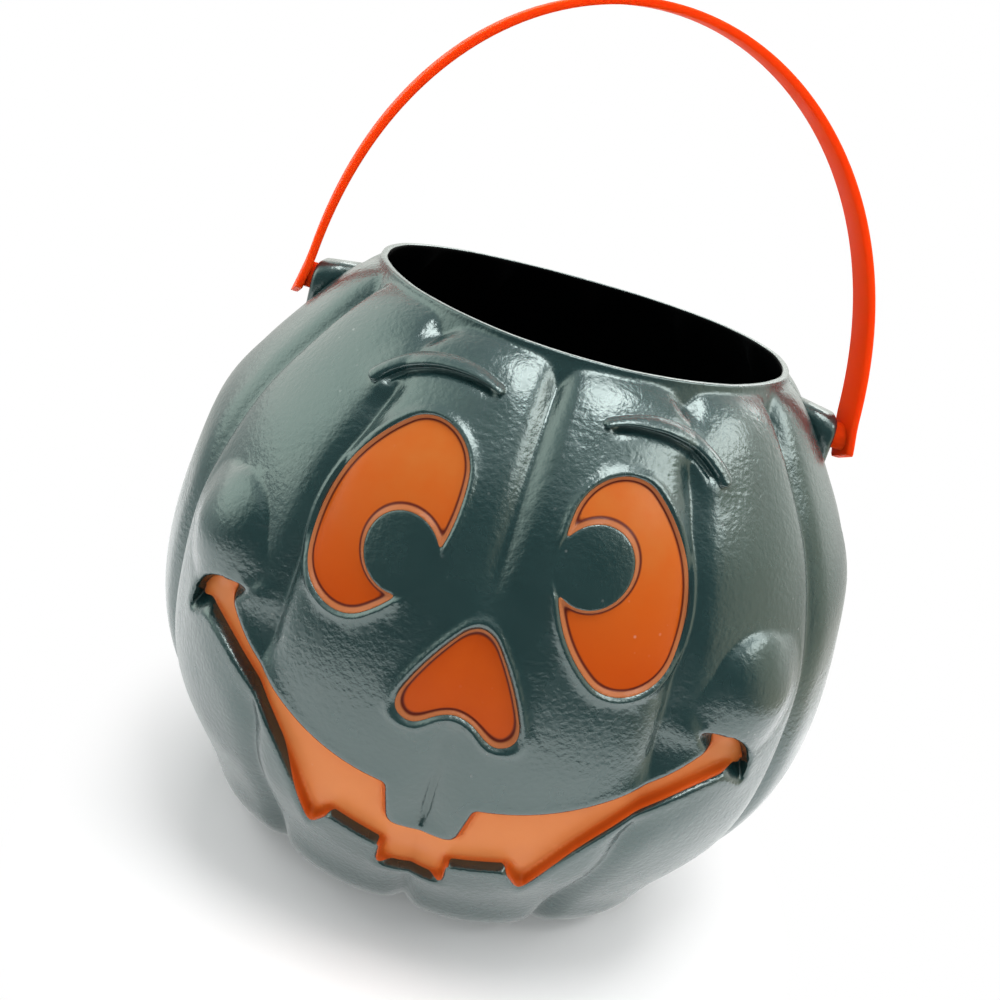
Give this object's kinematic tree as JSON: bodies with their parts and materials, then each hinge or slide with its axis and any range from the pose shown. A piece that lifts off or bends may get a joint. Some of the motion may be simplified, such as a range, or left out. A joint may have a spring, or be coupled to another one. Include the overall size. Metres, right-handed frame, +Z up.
{
  "type": "candy pail",
  "caption": "Round lobed pumpkin pail with an open mouth, a sunk and painted jack-o'-lantern face, and a strap handle that swings on snap pins in two lugs.",
  "frame": {"origin": "centre of the base, on the plane the pail stands on", "axes": "+Z up through the mouth, face towards -Y, handle pivots along X"},
  "size_m": [0.218, 0.2188, 0.2712],
  "materials": {
    "black_plastic": "semi-gloss blow-moulded polyethylene with a faint orange-peel surface",
    "orange_plastic": "smooth injection-moulded strap",
    "orange_paint": "sprayed satin paint"
  },
  "bodies": {
    "pail": {"pail_body": "black_plastic", "left_eye_paint": "orange_paint", "right_eye_paint": "orange_paint", "nose_paint": "orange_paint", "mouth_paint": "orange_paint"},
    "handle": {"handle": "orange_plastic"}
  },
  "joints": [
    {"name": "handle_swing", "type": "hinge", "parent": "pail", "child": "handle", "pos_m": [0, 0, 0.164], "axis": [1, 0, 0], "range_deg": [-93, 93]}
  ]
}
